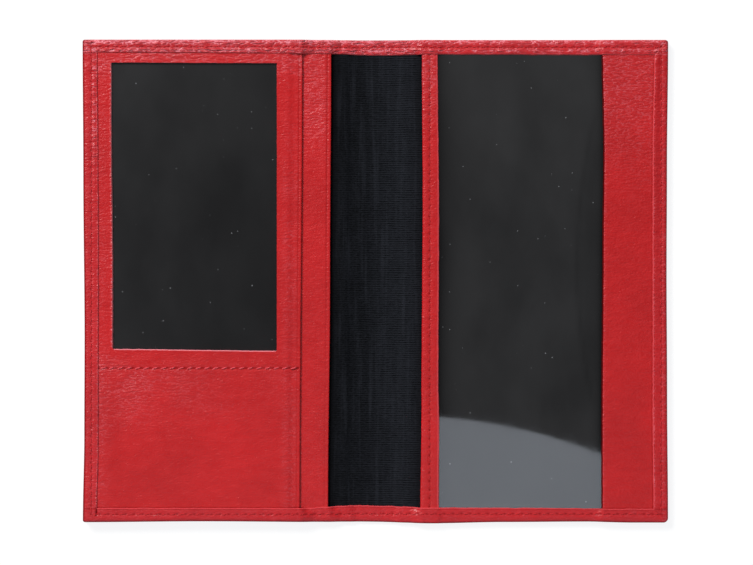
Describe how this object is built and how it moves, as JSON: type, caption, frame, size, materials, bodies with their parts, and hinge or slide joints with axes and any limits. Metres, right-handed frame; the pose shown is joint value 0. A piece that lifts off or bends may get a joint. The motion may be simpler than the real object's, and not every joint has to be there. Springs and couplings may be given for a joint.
{
  "type": "checkbook cover",
  "caption": "Folding leather checkbook cover with a window pocket, a rear pocket, a full-height clear film pocket and a turned, sewn edge.",
  "frame": {"origin": "under the middle of the fold, on the surface that the open cover rests on", "axes": "+X across the covers towards the clear film pocket, +Y along the fold towards the top, +Z out of the inside face"},
  "size_m": [0.204, 0.168, 0.005],
  "materials": {
    "red_leather": "satin red leather with a fine grain, turned and sewn round the edge",
    "red_pocket_leather": "the same leather on the pockets, with cut edges",
    "black_lining": "black fabric with fine ribs",
    "grey_card": "grey stiffening card, not visible",
    "clear_film": "clear soft vinyl film",
    "red_thread": "red polyester thread"
  },
  "bodies": {
    "left_cover": {"left_cover_leather": "red_leather", "left_stiffener": "grey_card", "left_lining": "black_lining", "rear_pocket_fabric": "black_lining", "rear_pocket_facing": "red_pocket_leather", "window_film": "clear_film", "window_panel": "red_pocket_leather"},
    "spine": {"spine_leather": "red_leather", "spine_lining": "black_lining"},
    "right_cover": {"right_cover_leather": "red_leather", "right_stiffener": "grey_card", "right_lining": "black_lining", "clear_pocket_film": "clear_film", "film_binding": "red_pocket_leather", "outer_strip": "red_pocket_leather"}
  },
  "joints": [
    {"name": "left_fold", "type": "hinge", "parent": "left_cover", "child": "spine", "pos_m": [-0.0034, 0, 0.00125], "axis": [0, -1, 0], "range_deg": [0, 90]},
    {"name": "right_fold", "type": "hinge", "parent": "spine", "child": "right_cover", "pos_m": [0.0034, 0, 0.00125], "axis": [0, -1, 0], "range_deg": [0, 90]}
  ]
}
